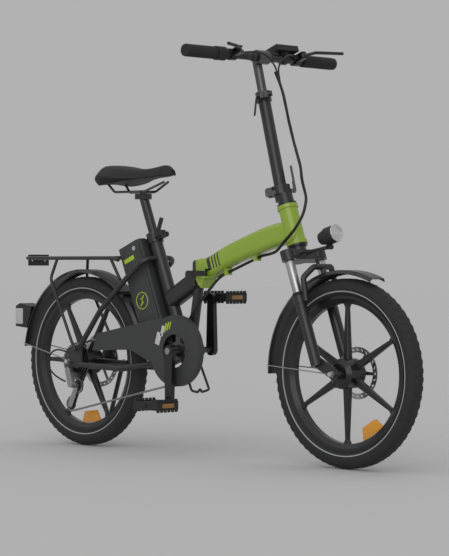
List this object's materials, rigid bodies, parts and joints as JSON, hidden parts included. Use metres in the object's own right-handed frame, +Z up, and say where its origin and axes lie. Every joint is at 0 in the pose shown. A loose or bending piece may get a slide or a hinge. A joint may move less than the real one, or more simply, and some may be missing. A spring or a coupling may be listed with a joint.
{
  "type": "folding bicycle",
  "caption": "Folding electric bicycle with small cast wheels, a curved main tube, a battery behind the seat tube, a rear rack, a folding handlepost and a suspension fork.",
  "frame": {"origin": "on the ground, under the middle of the whole bicycle's length and width", "axes": "+X the way the bicycle rides, +Y to the rider's left, +Z up"},
  "size_m": [1.614, 0.58, 1.1514],
  "materials": {
    "lime_paint": "satin",
    "black_paint": "satin",
    "black_alloy": "gloss",
    "tyre": "matte",
    "steel": "brushed",
    "chrome": "polished",
    "silver_alloy": "satin",
    "grey_plastic": "matte",
    "black_plastic": "matte",
    "grip_rubber": "matte",
    "cable_rubber": "satin",
    "saddle_skin": "satin",
    "lamp_plastic": "gloss"
  },
  "bodies": {
    "rear_frame": {"rear_frame": "black_paint", "frame_hinge_pin": "steel", "rack": "black_paint", "rear_fender": "black_plastic", "tail_light": "lamp_plastic", "chainguard": "grey_plastic", "chain": "steel", "bottom_bracket": "steel", "wire_stand": "chrome", "derailleur": "black_alloy", "rear_axle": "steel", "rear_caliper": "black_alloy"},
    "battery": {"battery_case": "grey_plastic"},
    "seat": {"seat_post": "black_paint", "saddle_rails": "steel", "saddle": "saddle_skin"},
    "seat_clamp": {"seat_clamp_lever": "black_alloy"},
    "kickstand": {"kickstand": "black_paint"},
    "cranks": {"crank_right": "black_alloy", "crank_left": "black_alloy", "chainring": "steel"},
    "pedal_right": {"pedal_right": "black_plastic"},
    "pedal_left": {"pedal_left": "black_plastic"},
    "cassette": {"cassette": "steel"},
    "rear_wheel": {"rear_wheel": "black_alloy", "rear_tyre": "tyre", "rear_disc": "steel"},
    "guide_pulley": {"guide_pulley": "black_plastic"},
    "tension_pulley": {"tension_pulley": "black_plastic"},
    "front_frame": {"front_frame": "lime_paint", "headset": "black_alloy", "frame_cables": "cable_rubber", "fold_cables": "cable_rubber"},
    "frame_latch": {"frame_latch_lever": "black_alloy"},
    "fork": {"fork_upper": "black_paint", "handlepost_base": "black_paint", "head_cables": "cable_rubber"},
    "headlight": {"headlight": "black_plastic"},
    "fork_lower": {"fork_lower": "black_paint", "front_fender": "black_plastic", "front_axle": "steel", "front_caliper": "black_alloy"},
    "front_wheel": {"front_wheel": "black_alloy", "front_tyre": "tyre", "front_disc": "steel"},
    "handlepost": {"handlepost": "black_paint", "post_cables": "cable_rubber"},
    "handlepost_latch": {"handlepost_latch_lever": "black_alloy"},
    "post_clamp": {"post_clamp_lever": "chrome"},
    "bar": {"bar_stem": "silver_alloy", "handlebar": "black_paint", "grips": "grip_rubber", "display": "black_plastic", "brake_perches": "black_alloy", "bar_cables": "cable_rubber"},
    "brake_right": {"brake_lever_right": "black_alloy"},
    "brake_left": {"brake_lever_left": "black_alloy"},
    "twist_shifter": {"twist_shifter": "grip_rubber"}
  },
  "joints": [
    {"name": "frame_fold", "type": "hinge", "parent": "rear_frame", "child": "front_frame", "pos_m": [-0.004, 0.034, 0.516], "axis": [0, 0, 1], "range_deg": [0, 158], "deforming": ["fold_cables"]},
    {"name": "frame_latch_turn", "type": "hinge", "parent": "front_frame", "child": "frame_latch", "pos_m": [0.046, -0.037, 0.516], "axis": [0, 0, 1], "range_deg": [0, 100]},
    {"name": "steering", "type": "hinge", "parent": "front_frame", "child": "fork", "pos_m": [0.37116, 0, 0.5932], "axis": [-0.3387, 0, 0.9409], "range_deg": [-40, 40], "deforming": ["head_cables"]},
    {"name": "handlepost_fold", "type": "hinge", "parent": "fork", "child": "handlepost", "pos_m": [0.28507, -0.02546, 0.73679], "axis": [0.684, -0.7071, 0.1794], "range_deg": [0, 165], "deforming": ["post_cables"]},
    {"name": "handlepost_latch_turn", "type": "hinge", "parent": "fork", "child": "handlepost_latch", "pos_m": [0.33515, 0.02475, 0.74372], "axis": [-0.684, 0.7071, -0.1794], "range_deg": [0, 100]},
    {"name": "bar_height", "type": "slide", "parent": "handlepost", "child": "bar", "axis": [-0.2538, 0, 0.9673], "range_m": [-0.07, 0.03]},
    {"name": "post_clamp_turn", "type": "hinge", "parent": "handlepost", "child": "post_clamp", "pos_m": [0.26041, -0.01909, 1.00635], "axis": [-0.684, -0.7071, -0.1794], "range_deg": [0, 90]},
    {"name": "brake_right_squeeze", "type": "hinge", "parent": "bar", "child": "brake_right", "pos_m": [0.2637, -0.115, 1.12296], "axis": [0.342, 0, -0.9397], "range_deg": [0, 18], "stiffness_Nm_per_rad": 0.6, "springref_deg": -5.73},
    {"name": "brake_left_squeeze", "type": "hinge", "parent": "bar", "child": "brake_left", "pos_m": [0.2637, 0.135, 1.12296], "axis": [-0.342, 0, 0.9397], "range_deg": [0, 14], "stiffness_Nm_per_rad": 0.6, "springref_deg": -5.73},
    {"name": "twist_shift", "type": "hinge", "parent": "bar", "child": "twist_shifter", "pos_m": [0.23363, 0, 1.11201], "axis": [0, 1, 0], "range_deg": [-60, 60]},
    {"name": "suspension", "type": "slide", "parent": "fork", "child": "fork_lower", "axis": [-0.3387, 0, 0.9409], "range_m": [0, 0.03], "stiffness_N_per_m": 9000, "springref_m": -0.02},
    {"name": "front_wheel_spin", "type": "hinge", "parent": "fork_lower", "child": "front_wheel", "pos_m": [0.555, 0, 0.252], "axis": [0, 1, 0], "continuous": true},
    {"name": "headlight_tilt", "type": "hinge", "parent": "fork", "child": "headlight", "pos_m": [0.4899, 0, 0.58812], "axis": [0, 1, 0], "range_deg": [-10, 20]},
    {"name": "seat_height", "type": "slide", "parent": "rear_frame", "child": "seat", "axis": [-0.3746, 0, 0.9272], "range_m": [-0.07, 0.06]},
    {"name": "seat_clamp_turn", "type": "hinge", "parent": "rear_frame", "child": "seat_clamp", "pos_m": [-0.16902, 0, 0.62917], "axis": [0, 1, 0], "range_deg": [0, 100]},
    {"name": "battery_slide", "type": "slide", "parent": "rear_frame", "child": "battery", "axis": [-0.3746, 0, 0.9272], "range_m": [0, 0.1]},
    {"name": "kickstand_fold", "type": "hinge", "parent": "rear_frame", "child": "kickstand", "pos_m": [-0.449, 0.09, 0.24], "axis": [-0.111, 0.9783, 0.1748], "range_deg": [0, 53.09]},
    {"name": "crank_spin", "type": "hinge", "parent": "rear_frame", "child": "cranks", "pos_m": [-0.048, 0, 0.296], "axis": [0, 1, 0], "continuous": true},
    {"name": "pedal_right_spin", "type": "hinge", "parent": "cranks", "child": "pedal_right", "pos_m": [-0.048, 0, 0.146], "axis": [0, 1, 0], "continuous": true},
    {"name": "pedal_left_spin", "type": "hinge", "parent": "cranks", "child": "pedal_left", "pos_m": [-0.048, 0, 0.446], "axis": [0, 1, 0], "continuous": true},
    {"name": "cassette_spin", "type": "hinge", "parent": "rear_frame", "child": "cassette", "pos_m": [-0.497, 0, 0.252], "axis": [0, 1, 0], "continuous": true},
    {"name": "guide_pulley_spin", "type": "hinge", "parent": "rear_frame", "child": "guide_pulley", "pos_m": [-0.483, 0, 0.18], "axis": [0, 1, 0], "continuous": true},
    {"name": "tension_pulley_spin", "type": "hinge", "parent": "rear_frame", "child": "tension_pulley", "pos_m": [-0.511, 0, 0.124], "axis": [0, 1, 0], "continuous": true},
    {"name": "rear_wheel_spin", "type": "hinge", "parent": "rear_frame", "child": "rear_wheel", "pos_m": [-0.497, 0, 0.252], "axis": [0, 1, 0], "continuous": true}
  ],
  "couplings": [
    {"joint": "cassette_spin", "follows": "crank_spin", "ratio": 1.8787},
    {"joint": "guide_pulley_spin", "follows": "crank_spin", "ratio": -4.3173},
    {"joint": "tension_pulley_spin", "follows": "crank_spin", "ratio": 4.3173}
  ]
}
